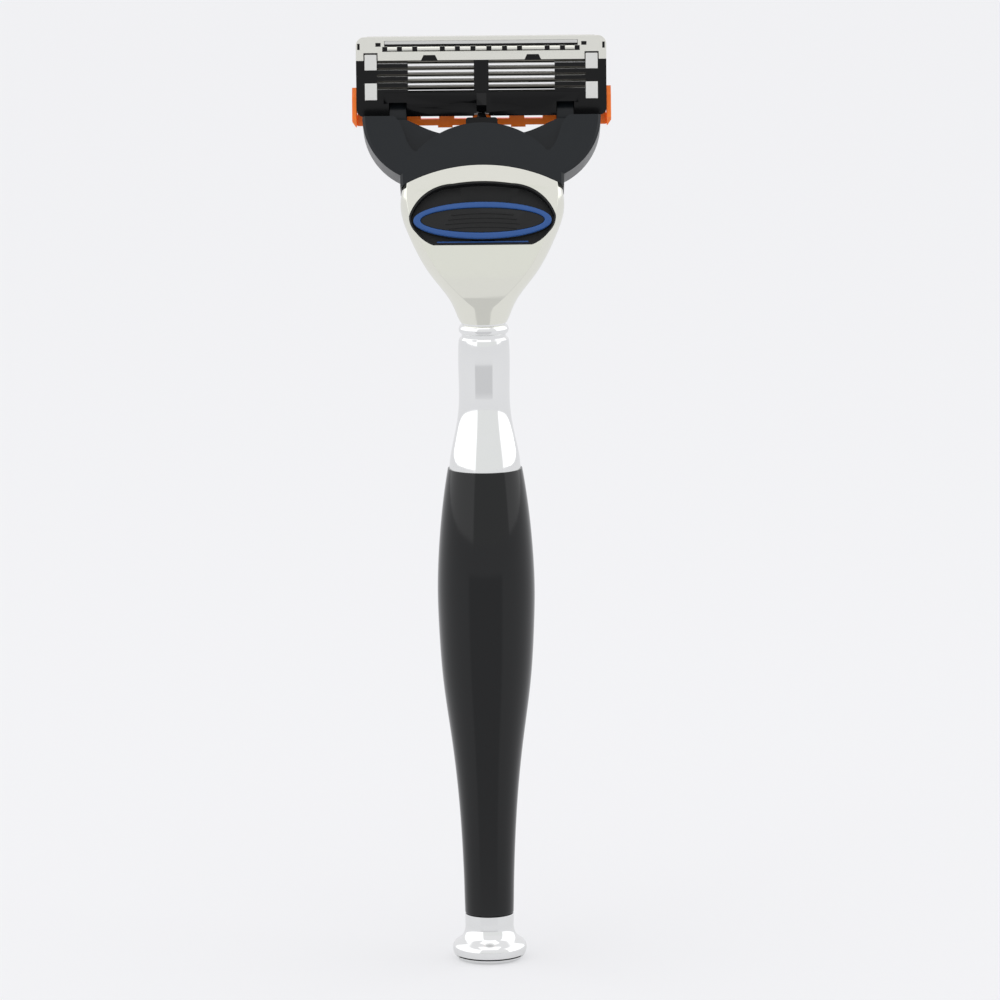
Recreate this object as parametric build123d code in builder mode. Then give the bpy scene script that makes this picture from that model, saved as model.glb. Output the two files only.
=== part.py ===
"""Cartridge razor with a pivoting five-blade head on a weighted wet-shaving handle.

Every length is in millimetres. The origin is the middle of the foot, +Z runs up the
handle, +X runs along the blades and +Y is the side the blades face. The head leans
forward from the handle, so the docking parts are drawn in a tilted dock frame.
"""

import os
from math import cos, radians, sin, sqrt

from build123d import *

os.makedirs("parts", exist_ok=True)

# ---- clearances -------------------------------------------------------------
fit_gap = 0.05  # parts that are pushed together and stay together
run_gap = 0.07  # parts that turn on one another
slide_gap = 0.1  # parts that slide past one another
seat_gap = 0.02  # parts that rest on one another

# ---- long cuts and rectangles that only have to reach past the solid ----------
far = 25.0

# ---- handle -----------------------------------------------------------------
grip_start_z = 7.7
grip_end_z = 82.4
ferrule_end_z = 104.0
neck_ring_end_z = 106.4
neck_radius = 4.03
grip_belly_radius = 7.99
foot_rim_radius = 6.1
foot_pad_radius = 4.7
foot_pad_height = 1.0
foot_edge_z = 0.15
core_radius = 3.0
core_spigot_radius = 2.4
core_spigot_length = 5.6
rod_radius = 1.5
rod_bottom_z = 2.2
rod_top_z = 114.0
nut_across_flats = 5.5
nut_height = 2.2
nut_top_z = 4.9
washer_height = 0.5
nut_clearance = 0.35
washer_overlap = 0.2
rod_chamfer = 0.3
groove_radius = 3.6
ring_radius = 4.08
ring_bead_radius = 0.9
ring_bead_rise = 0.15
pad_edge_radius = 0.1
grip_edge_radius = 0.35
foot_base_radius = 5.2
foot_bulge = (5.93, 1.05)
foot_rim_z = 2.1
foot_waist = ((5.8, 2.8), (4.57, 3.8), (4.1, 4.8))
foot_neck_z = 6.2
# radius and height of the grip, from the foot up
grip_profile = (
    (4.27, 16.6),
    (4.84, 26.7),
    (5.9, 36.9),
    (7.21, 46.9),
    (7.87, 57.0),
    (grip_belly_radius, 61.8),
    (7.84, 67.0),
    (7.32, 73.7),
    (6.46, 80.3),
)
grip_top_radius = 6.1
ferrule_base_radius = 5.85
ferrule_profile = ((5.48, 85.3), (4.79, 88.6), (4.27, 91.9), (4.15, 96.0))
ferrule_lip_z = 103.7
ferrule_lip_radius = 3.85

# ---- dock frame: +w points up the leaning head, +b points to its back --------
dock_tilt = 20.0
dock_y = 4.2
dock_z = 130.3
dock_up = (0.0, sin(radians(dock_tilt)), cos(radians(dock_tilt)))
dock_back = (0.0, -cos(radians(dock_tilt)), sin(radians(dock_tilt)))
dock = Plane(origin=(0.0, dock_y, dock_z), x_dir=(1, 0, 0), z_dir=dock_back)
back_axis = Axis(origin=(0, 0, 0), direction=dock_back)
back_plane = Plane(origin=(0, 0, 0), z_dir=dock_back)

# ---- head shell -------------------------------------------------------------
spine_radius = 70.0
shell_top_radius = 27.0
shell_cap_depth = 8.0
facet_radius = 66.0
facet_centre = (61.1, 111.2)
facet_angles = (-7, 9, 25)
# bend angle, half width, half depth and setback of each cross-section
shell_sections = (
    (0.0, 3.70, 3.70, 0.00),
    (1.6, 4.61, 4.40, 0.25),
    (3.0, 5.42, 4.90, 0.70),
    (5.5, 7.70, 5.90, 1.40),
    (8.0, 9.85, 6.60, 1.85),
    (12.0, 12.28, 7.30, 2.30),
    (16.0, 13.28, 7.85, 2.85),
    (20.0, 13.30, 8.30, 3.30),
)

# ---- docking block, plunger and ejector, in the dock frame -------------------
block_half_width = 6.0
block_back = 3.1
block_front = -2.5
block_bottom = -9.5
block_top = 4.1
block_pin_radius = 0.8
block_pin_w = -8.3
block_pin_length = 18.0
block_corner = 1.0
flange_pocket_depth = 6.0
spring_bore_radius = 1.25
spring_bore_top = -5.0
post_width = 1.0
post_height = 0.9
channel_floor = 2.0
channel_half_width = 4.6
plunger_half_width = 2.6
plunger_half_depth = 1.1
plunger_flange_half_width = 3.4
plunger_flange_bottom = -1.0
plunger_shoulder = 9.25
plunger_corner = 0.5
plunger_neck = (1.8, 1.5)
plunger_tip = (1.1, 0.6)
plunger_spring_bottom = -6.9
plunger_spring_wire = 0.15
plunger_spring_radius = 0.9
plunger_spring_turns = 6
ejector_bottom = -12.6
ejector_plate_top = -1.0
ejector_prong_top = 1.9
ejector_window_bottom = -10.2
ejector_window_top = -2.0
ejector_window_width = 1.5
ejector_thickness = 0.9
prong_x = 3.55
prong_width = 1.9
release_travel = 1.4
post_bottom = -4.0
post_top = -3.2
return_spring_wire = 0.11
return_spring_radius = 0.36
return_spring_turns = 11

# ---- release button ---------------------------------------------------------
recess_floor = 3.7
recess_half_width = 11.9
recess_wide_w = -8.3
recess_peak_w = -2.7
recess_bottom_w = -12.95
recess_flat = 8.0
# the outline's shoulder and brow, as shares of its half width and its rise
shoulder_share = (0.745, 0.70)
brow_share = (0.4, 0.93)
liner_wall = 0.3
button_half_width = 11.2
button_half_height = 3.03
button_w = -9.1
button_band = 1.15
button_band_height = 0.95
band_end_share = 0.95
button_base = recess_floor + liner_wall + slide_gap
button_ledge = 4.75
button_crown = 0.75
band_edge_radius = 0.2
ridge_count = 4
ridge_pitch = 0.75
ridge_first = -1.2
ridge_reach = 6.0
ridge_taper = 0.5
ridge_height = 0.12
ridge_width = 0.22
ridge_sag = 0.3
lip_size = (14.8, 0.25)
lip_height = 0.4
lip_rise = 0.19
stem_bottom = -12.2
stem_top = -10.7
stem_width = 3.6

# ---- pivot and shell bearings -------------------------------------------------
pivot_b = -5.0
pivot_w = 10.6
pivot_range = 45.0
pivot_y = dock_y + dock_up[1] * pivot_w + dock_back[1] * pivot_b
pivot_z = dock_z + dock_up[2] * pivot_w + dock_back[2] * pivot_b
journal_radius = 3.2
tongue_inner_radius = journal_radius + run_gap
tongue_outer_radius = 4.2
slot_outer_radius = tongue_outer_radius + slide_gap
tongue_tip_angle = 132.0
tongue_root_angle = 228.0
finger_near_x = 12.35
finger_far_x = 15.05
slot_near_x = finger_near_x - slide_gap
slot_far_x = finger_far_x + slide_gap
contact_drop = 0.35
cam_gap = 0.05
cam_half_width = 0.8
cam_side_gap = 0.4
nose_sweep_radius = 6.85

# ---- cartridge ----------------------------------------------------------------
cartridge_half_width = 20.45
back_y = pivot_y - 4.5
front_y = pivot_y + 1.4
housing_bottom_z = 139.4
housing_top_z = 151.9
window_bottom_z = 143.4
window_top_z = 148.5
window_half_width = 17.1
comb_near_x = 12.0
bridge_half_width = 1.2
bay_half_width = 18.4
bay_back_y = back_y + 2.9
bay_bottom_z = 143.1
bay_top_z = 149.0
blade_pitch = 1.05
blade_count = 5
blade_first_z = 143.25
blade_half_length = 18.2
blade_edge_y = pivot_y + 1.27
blade_width = 0.9
blade_thickness = 0.1
blade_angle = 21.5
support_thickness = 0.25
clip_thickness = 0.25
clip_near_x = 17.05
clip_far_x = 19.05
clip_top_z = 149.6
clip_bottom_z = 142.1
clip_upper_end_z = 147.0
clip_lower_end_z = 144.9
notch_top_z = 141.7
strip_half_length = 16.9
rail_height = 0.28
rail_bottom_z = 141.3
rail_top_z = 143.3
plate_thickness = 0.35
plate_bottom_z = 148.6
plate_top_z = 152.45
comb_slot_centres = (-15.7, -13.3, -10.8, -6.3, -3.85, -1.3)
frame_half_width = 21.2


def cross_plane(back, up):
    """Plane across the dock at a dock frame point, facing up the head."""
    return Plane(origin=(0, *dock_yz(back, up)), x_dir=(1, 0, 0), z_dir=dock_up)


def section_point(angle, setback):
    """Point on the bent spine of the head, moved back from it."""
    reach = spine_radius + setback
    return (0.0, spine_radius - reach * cos(radians(angle)), neck_ring_end_z + reach * sin(radians(angle)))


def dock_yz(back, up):
    """Y and Z of a dock frame point on the middle plane."""
    return (dock_y + dock_back[1] * back + dock_up[1] * up, dock_z + dock_back[2] * back + dock_up[2] * up)


def round_pivot(radius, angle):
    """Y and Z of a point round the pivot, with the angle taken from +Y towards +Z."""
    return (pivot_y + radius * cos(radians(angle)), pivot_z + radius * sin(radians(angle)))


def cam_yz(turn):
    """Point of the nose that meets the plunger once the cartridge has turned."""
    drop = contact_drop - cam_gap + -pivot_b * turn
    y, z = dock_yz(0.0, pivot_w - drop)
    y -= pivot_y
    z -= pivot_z
    return (pivot_y + y * cos(turn) + z * sin(turn), pivot_z - y * sin(turn) + z * cos(turn))


def save(piece, label):
    """Name a finished piece and write it out."""
    piece.part.label = label
    export_step(piece.part, "parts/" + label + ".step")


# ---- handle parts, turned about Z ---------------------------------------------
with BuildPart() as foot_pad:
    with Locations((0, 0, foot_pad_height / 2)):
        Cylinder(foot_pad_radius, foot_pad_height)
    fillet(foot_pad.edges().group_by(Axis.Z)[0], pad_edge_radius)
save(foot_pad, "foot_pad")

with BuildPart() as foot:
    with BuildSketch(Plane.XZ):
        with BuildLine():
            Line((0, foot_pad_height), (foot_pad_radius + fit_gap, foot_pad_height))
            Line((foot_pad_radius + fit_gap, foot_pad_height), (foot_pad_radius + fit_gap, foot_edge_z))
            Line((foot_pad_radius + fit_gap, foot_edge_z), (foot_base_radius, foot_edge_z))
            ThreePointArc((foot_base_radius, foot_edge_z), foot_bulge, (foot_rim_radius, foot_rim_z))
            Spline((foot_rim_radius, foot_rim_z), *foot_waist, (neck_radius, foot_neck_z))
            Line((neck_radius, foot_neck_z), (neck_radius, grip_start_z))
            Line((neck_radius, grip_start_z), (0, grip_start_z))
            Line((0, grip_start_z), (0, foot_pad_height))
        make_face()
    revolve(axis=Axis.Z)
    with Locations((0, 0, nut_top_z / 2 + foot_pad_height / 2)):
        Cylinder(nut_across_flats / sqrt(3) + nut_clearance, nut_top_z - foot_pad_height, mode=Mode.SUBTRACT)
    with Locations((0, 0, grip_start_z / 2)):
        Cylinder(rod_radius + fit_gap, grip_start_z, mode=Mode.SUBTRACT)
save(foot, "foot")

with BuildPart() as foot_washer:
    with Locations((0, 0, nut_top_z - washer_height / 2)):
        Cylinder(nut_across_flats / sqrt(3) + washer_overlap, washer_height)
        Cylinder(rod_radius + fit_gap, washer_height, mode=Mode.SUBTRACT)
save(foot_washer, "foot_washer")

with BuildPart() as rod_nut:
    with BuildSketch(Plane.XY.offset(nut_top_z - washer_height - nut_height)):
        RegularPolygon(nut_across_flats / 2, 6, major_radius=False)
        Circle(rod_radius + fit_gap, mode=Mode.SUBTRACT)
    extrude(amount=nut_height)
save(rod_nut, "rod_nut")

with BuildPart() as tie_rod:
    with Locations((0, 0, (rod_bottom_z + rod_top_z) / 2)):
        Cylinder(rod_radius, rod_top_z - rod_bottom_z)
    chamfer(tie_rod.edges(), rod_chamfer)
save(tie_rod, "tie_rod")

with BuildPart() as grip_core:
    with Locations((0, 0, (grip_start_z + grip_end_z) / 2)):
        Cylinder(core_radius, grip_end_z - grip_start_z)
    with Locations((0, 0, grip_end_z + core_spigot_length / 2)):
        Cylinder(core_spigot_radius, core_spigot_length)
    chamfer(grip_core.edges().group_by(Axis.Z)[-1], rod_chamfer)
    with Locations((0, 0, rod_top_z / 2)):
        Cylinder(rod_radius + fit_gap, rod_top_z, mode=Mode.SUBTRACT)
save(grip_core, "grip_core")

with BuildPart() as grip:
    with BuildSketch(Plane.XZ):
        with BuildLine():
            Line((core_radius + fit_gap, grip_start_z), (neck_radius, grip_start_z))
            Spline((neck_radius, grip_start_z), *grip_profile, (grip_top_radius, grip_end_z))
            Line((grip_top_radius, grip_end_z), (core_radius + fit_gap, grip_end_z))
            Line((core_radius + fit_gap, grip_end_z), (core_radius + fit_gap, grip_start_z))
        make_face()
    revolve(axis=Axis.Z)
    foot_edges = grip.edges().filter_by(GeomType.CIRCLE).sort_by(Axis.Z)[:2]
    fillet(foot_edges.sort_by(SortBy.RADIUS)[-1], grip_edge_radius)
save(grip, "grip")

with BuildPart() as ferrule:
    with BuildSketch(Plane.XZ):
        with BuildLine():
            Line((0, grip_end_z), (ferrule_base_radius, grip_end_z))
            Spline((ferrule_base_radius, grip_end_z), *ferrule_profile, (ring_radius, ferrule_lip_z))
            Line((ring_radius, ferrule_lip_z), (ferrule_lip_radius, ferrule_end_z))
            Line((ferrule_lip_radius, ferrule_end_z), (0, ferrule_end_z))
            Line((0, ferrule_end_z), (0, grip_end_z))
        make_face()
    revolve(axis=Axis.Z)
    with Locations((0, 0, grip_end_z + core_spigot_length / 2 + fit_gap)):
        Cylinder(core_spigot_radius + fit_gap, core_spigot_length + 2 * fit_gap, mode=Mode.SUBTRACT)
    with Locations((0, 0, rod_top_z / 2)):
        Cylinder(rod_radius + fit_gap, rod_top_z, mode=Mode.SUBTRACT)
save(ferrule, "ferrule")

with BuildPart() as neck_ring:
    with Locations((0, 0, (ferrule_end_z + neck_ring_end_z) / 2)):
        Cylinder(groove_radius, neck_ring_end_z - ferrule_end_z)
    with BuildSketch(Plane.XZ):
        bead_z = (ferrule_end_z + neck_ring_end_z) / 2 + ring_bead_rise
        with Locations((ring_radius - ring_bead_radius, bead_z)):
            Circle(ring_bead_radius)
    revolve(axis=Axis.Z)
    with Locations((0, 0, (ferrule_end_z + neck_ring_end_z) / 2)):
        Cylinder(rod_radius + fit_gap, 4, mode=Mode.SUBTRACT)
save(neck_ring, "neck_ring")

# ---- head shell ----------------------------------------------------------------


def recess_outline(level, wall):
    """Outline of the button recess, drawn inwards by a wall, at a level above the dock plane."""
    half = recess_half_width - wall
    low = recess_bottom_w + wall
    rise = recess_peak_w - wall - recess_wide_w
    shoulder = (half * shoulder_share[0], recess_wide_w + rise * shoulder_share[1])
    brow = (half * brow_share[0], recess_wide_w + rise * brow_share[1])
    with BuildSketch(dock.offset(level)) as outline:
        with BuildLine():
            Line((-recess_flat, low), (recess_flat, low))
            for side in (1, -1):
                Spline(
                    (side * recess_flat, low),
                    (side * (half - 1.0), recess_wide_w - 2.5),
                    (side * half, recess_wide_w),
                    tangents=((side, 0.35), (0, 1)),
                )
                ThreePointArc(
                    (side * half, recess_wide_w),
                    (side * shoulder[0], shoulder[1]),
                    (side * brow[0], brow[1]),
                )
            ThreePointArc(brow, (0, recess_peak_w - wall), (-brow[0], brow[1]))
        make_face()
    return outline.sketch


facet_ends = [
    (
        facet_centre[0] - facet_radius * cos(radians(angle)),
        facet_centre[1] + facet_radius * sin(radians(angle)),
    )
    for angle in facet_angles
]
with BuildSketch(Plane.YZ) as behind_facet:
    with BuildLine():
        ThreePointArc(*facet_ends)
        Polyline(facet_ends[2], (-far, facet_ends[2][1]), (-far, facet_ends[0][1]), facet_ends[0])
    make_face()


with BuildPart() as head_shell:
    for angle, half_width, half_depth, setback in shell_sections:
        direction = (0, sin(radians(angle)), cos(radians(angle)))
        with BuildSketch(Plane(origin=section_point(angle, setback), x_dir=(1, 0, 0), z_dir=direction)):
            Ellipse(half_width, half_depth)
    loft()
    extrude(behind_facet.sketch, amount=far, both=True, mode=Mode.SUBTRACT)
    with BuildSketch(dock):
        with Locations((0, far - shell_cap_depth)):
            Rectangle(2 * far, 2 * far)
        with Locations((0, -shell_top_radius)):
            Circle(shell_top_radius, mode=Mode.SUBTRACT)
    extrude(amount=far, both=True, mode=Mode.SUBTRACT)
    extrude(recess_outline(recess_floor, 0), amount=5, mode=Mode.SUBTRACT)
    with BuildSketch(dock.offset(block_front - fit_gap)):
        with Locations((0, block_bottom / 2 + 1)):
            Rectangle(2 * (block_half_width + fit_gap), 2 - block_bottom + 2 * fit_gap)
    extrude(amount=block_back - block_front + 2 * fit_gap, mode=Mode.SUBTRACT)
    with BuildSketch(dock.offset(channel_floor)):
        with Locations((0, (ejector_bottom + block_bottom) / 2)):
            Rectangle(2 * channel_half_width, block_bottom - ejector_bottom + 4 * slide_gap)
    extrude(amount=block_back + fit_gap - channel_floor, mode=Mode.SUBTRACT)
    with BuildSketch(dock.offset(channel_floor)):
        with Locations((0, (stem_bottom + stem_top + release_travel) / 2)):
            Rectangle(stem_width + 2 * slide_gap, stem_top - stem_bottom + release_travel + 2 * slide_gap)
    extrude(amount=recess_floor - channel_floor, mode=Mode.SUBTRACT)
    with Locations((0, 0, (neck_ring_end_z + rod_top_z) / 2)):
        Cylinder(rod_radius + fit_gap, rod_top_z - neck_ring_end_z + 4 * slide_gap, mode=Mode.SUBTRACT)
    with BuildSketch(Plane.YZ):
        with Locations(dock_yz(0.0, block_pin_w)):
            Circle(block_pin_radius + fit_gap)
    extrude(amount=block_pin_length / 2 + fit_gap, both=True, mode=Mode.SUBTRACT)
save(head_shell, "head_shell")

with BuildPart() as block_pin:
    with BuildSketch(Plane.YZ):
        with Locations(dock_yz(0.0, block_pin_w)):
            Circle(block_pin_radius)
    extrude(amount=block_pin_length / 2, both=True)
save(block_pin, "block_pin")

with BuildPart() as docking_block:
    with BuildSketch(dock.offset(block_front)):
        with Locations((0, (block_bottom + block_top) / 2)):
            Rectangle(2 * block_half_width, block_top - block_bottom)
    extrude(amount=block_back - block_front)
    fillet(docking_block.edges().filter_by(back_axis).group_by(Axis.Z)[-1], block_corner)
    with BuildSketch(dock.offset(channel_floor)):
        with Locations((0, (block_bottom + block_top) / 2)):
            Rectangle(2 * channel_half_width, block_top - block_bottom + 1)
    extrude(amount=block_back, mode=Mode.SUBTRACT)
    with BuildSketch(dock.offset(-plunger_half_depth - slide_gap)):
        with Locations((0, far)):
            Rectangle(2 * (plunger_half_width + slide_gap), 2 * far)
    extrude(amount=2 * (plunger_half_depth + slide_gap), mode=Mode.SUBTRACT)
    with BuildSketch(dock.offset(block_front)):
        with Locations((0, (slide_gap - flange_pocket_depth) / 2)):
            Rectangle(2 * (plunger_flange_half_width + slide_gap), flange_pocket_depth + slide_gap)
    extrude(amount=plunger_half_depth + slide_gap - block_front, mode=Mode.SUBTRACT)
    with BuildSketch(cross_plane(0.0, spring_bore_top)):
        Circle(spring_bore_radius)
    extrude(amount=plunger_spring_bottom - spring_bore_top, mode=Mode.SUBTRACT)
    with BuildSketch(Plane.YZ):
        with Locations(dock_yz(0.0, block_pin_w)):
            Circle(block_pin_radius + fit_gap)
    extrude(amount=far, both=True, mode=Mode.SUBTRACT)
    with BuildSketch(dock.offset(channel_floor)):
        with Locations((0, (post_bottom + post_top) / 2)):
            Rectangle(post_width, post_top - post_bottom)
    extrude(amount=post_height)
save(docking_block, "docking_block")


def coil(low, high, back, radius, wire, turns):
    """Round-wire compression spring along the dock, drawn on the current part."""
    length = high - low - 2 * wire
    with BuildLine() as path:
        Helix(length / turns, length, radius, center=(0, *dock_yz(back, low + wire)), direction=dock_up)
    with BuildSketch(Plane(origin=path.line @ 0, z_dir=path.line % 0)) as section:
        Circle(wire)
    sweep(section.sketch, path=path.line, is_frenet=True)


with BuildPart() as plunger_spring:
    coil(
        plunger_spring_bottom,
        plunger_flange_bottom - seat_gap,
        0.0,
        plunger_spring_radius,
        plunger_spring_wire,
        plunger_spring_turns,
    )
save(plunger_spring, "plunger_spring")

with BuildPart() as return_spring:
    coil(
        ejector_window_bottom + seat_gap,
        post_bottom - seat_gap,
        channel_floor + slide_gap + ejector_thickness / 2,
        return_spring_radius,
        return_spring_wire,
        return_spring_turns,
    )
save(return_spring, "return_spring")

with BuildPart() as plunger:
    with BuildSketch(dock.offset(-plunger_half_depth)):
        with Locations((0, (plunger_flange_bottom + plunger_shoulder) / 2)):
            Rectangle(2 * plunger_half_width, plunger_shoulder - plunger_flange_bottom)
    extrude(amount=2 * plunger_half_depth)
    fillet(plunger.edges().filter_by(back_axis).group_by(Axis.Z)[-1], plunger_corner)
    with BuildSketch(dock.offset(-plunger_half_depth)):
        with Locations((0, plunger_flange_bottom / 2)):
            Rectangle(2 * plunger_flange_half_width, -plunger_flange_bottom)
    extrude(amount=2 * plunger_half_depth)
    with BuildSketch(cross_plane(0.0, plunger_shoulder - 0.1)):
        Rectangle(*plunger_neck)
    with BuildSketch(cross_plane(0.0, pivot_w - contact_drop)):
        Rectangle(*plunger_tip)
    loft()
save(plunger, "plunger")

with BuildPart() as ejector:
    with BuildSketch(dock.offset(channel_floor + slide_gap)):
        with Locations((0, (ejector_bottom + ejector_plate_top) / 2)):
            Rectangle(2 * (channel_half_width - slide_gap), ejector_plate_top - ejector_bottom)
        with Locations((-prong_x, ejector_prong_top / 2 - 1), (prong_x, ejector_prong_top / 2 - 1)):
            Rectangle(prong_width, ejector_prong_top + 2)
        with Locations((0, (ejector_window_bottom + ejector_window_top) / 2)):
            Rectangle(ejector_window_width, ejector_window_top - ejector_window_bottom, mode=Mode.SUBTRACT)
    extrude(amount=ejector_thickness)
save(ejector, "ejector")

with BuildPart() as recess_liner:
    extrude(recess_outline(recess_floor, fit_gap), amount=3)
    extrude(recess_outline(recess_floor + liner_wall, fit_gap + liner_wall), amount=3, mode=Mode.SUBTRACT)
    extrude(behind_facet.sketch, amount=far, both=True, mode=Mode.SUBTRACT)
    with BuildSketch(dock.offset(recess_floor)):
        with Locations((0, (stem_bottom + stem_top + release_travel) / 2)):
            Rectangle(stem_width + 2 * slide_gap, stem_top - stem_bottom + release_travel + 2 * slide_gap)
    extrude(amount=1, mode=Mode.SUBTRACT)
save(recess_liner, "recess_liner")

with BuildPart() as release_button:
    with BuildSketch(dock.offset(button_base)):
        with Locations((0, button_w)):
            Ellipse(button_half_width, button_half_height)
    extrude(amount=button_ledge - button_base)
    with BuildSketch(dock.offset(button_ledge)):
        with Locations((0, button_w)):
            Ellipse(button_half_width - button_band - fit_gap, button_half_height - band_end_share - fit_gap)
    extrude(amount=button_crown)
    for ridge in range(ridge_count):
        with BuildSketch(dock.offset(button_ledge + button_crown)):
            with BuildLine():
                low = button_w + ridge_first + ridge_pitch * ridge
                high = low + ridge_width
                reach = ridge_reach - ridge_taper * abs(ridge - 1)
                ThreePointArc((-reach, low - ridge_sag), (0, low), (reach, low - ridge_sag))
                Line((reach, low - ridge_sag), (reach, high - ridge_sag))
                ThreePointArc((reach, high - ridge_sag), (0, high), (-reach, high - ridge_sag))
                Line((-reach, high - ridge_sag), (-reach, low - ridge_sag))
            make_face()
        extrude(amount=ridge_height)
    with BuildSketch(dock.offset(channel_floor + slide_gap + ejector_thickness)):
        with Locations((0, (stem_bottom + stem_top) / 2)):
            Rectangle(stem_width, stem_top - stem_bottom)
    extrude(amount=button_base - channel_floor - slide_gap - ejector_thickness)
save(release_button, "release_button")

with BuildPart() as button_band_ring:
    with BuildSketch(dock.offset(button_ledge)):
        with Locations((0, button_w)):
            Ellipse(button_half_width, button_half_height)
            Ellipse(button_half_width - button_band, button_half_height - band_end_share, mode=Mode.SUBTRACT)
    extrude(amount=button_band_height)
    flat_faces = button_band_ring.faces().filter_by(back_plane)
    fillet(flat_faces.edges(), band_edge_radius)
save(button_band_ring, "button_band")

with BuildPart() as lip_inlay:
    with BuildSketch(dock.offset(recess_floor + liner_wall)):
        with Locations((0, recess_bottom_w + liner_wall + lip_rise)):
            Rectangle(*lip_size)
    extrude(amount=lip_height)
save(lip_inlay, "lip_inlay")

# ---- yoke ------------------------------------------------------------------------
yoke_front = -4.4
yoke_arm_front = -1.0
yoke_web_back = 2.9
yoke_back = 5.4
yoke_foot_gap = 0.15
yoke_corner_w = -3.4
yoke_side_w = -1.4
arm_tip_x = 19.4
arm_tip_w = 8.45
hub_half_width = 10.2
hub_side_w = 2.95
hub_peak_w = 7.24


yoke_side_x = 13.3
yoke_rim_chamfer = 0.45
hub_web_w = 5.9
hub_web_half_width = 4.5
hub_front = -0.5
hub_crown = (7.0, 5.35)
web_edge = ((12.3, arm_tip_w), (10.1, 7.4), (7.4, 6.3), (hub_web_half_width, hub_web_w))
arm_edge = ((14.3, arm_tip_w), (12.6, 5.5), (11.6, 3.2), (10.8, 2.5), (hub_half_width, hub_side_w))
front_oval = (15.2, 7.9)
front_oval_b = -3.3
swing_radius = 5.9
swing_plane_radius = 5.25
swing_plane_angle = 225.0
tongue_shoulder_angle = 203.0
tongue_roots = ((6.4, 203.0), (8.6, 205.0), (8.6, 216.0), (6.6, 232.0))


def mirrored(points):
    """The same outline points on the other side of the middle plane."""
    return tuple((-x, w) for x, w in points)


def yoke_sides():
    """Foot arc, corners and bowed arms shared by the web and the raised back."""
    ThreePointArc((-yoke_side_x, yoke_corner_w), (0, yoke_foot_gap), (yoke_side_x, yoke_corner_w))
    Line((yoke_side_x, yoke_corner_w), (yoke_side_x, yoke_side_w))
    Line((-yoke_side_x, yoke_corner_w), (-yoke_side_x, yoke_side_w))
    TangentArc((arm_tip_x, arm_tip_w), (yoke_side_x, yoke_side_w), tangent=(0, -1))
    TangentArc((-arm_tip_x, arm_tip_w), (-yoke_side_x, yoke_side_w), tangent=(0, -1))


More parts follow.
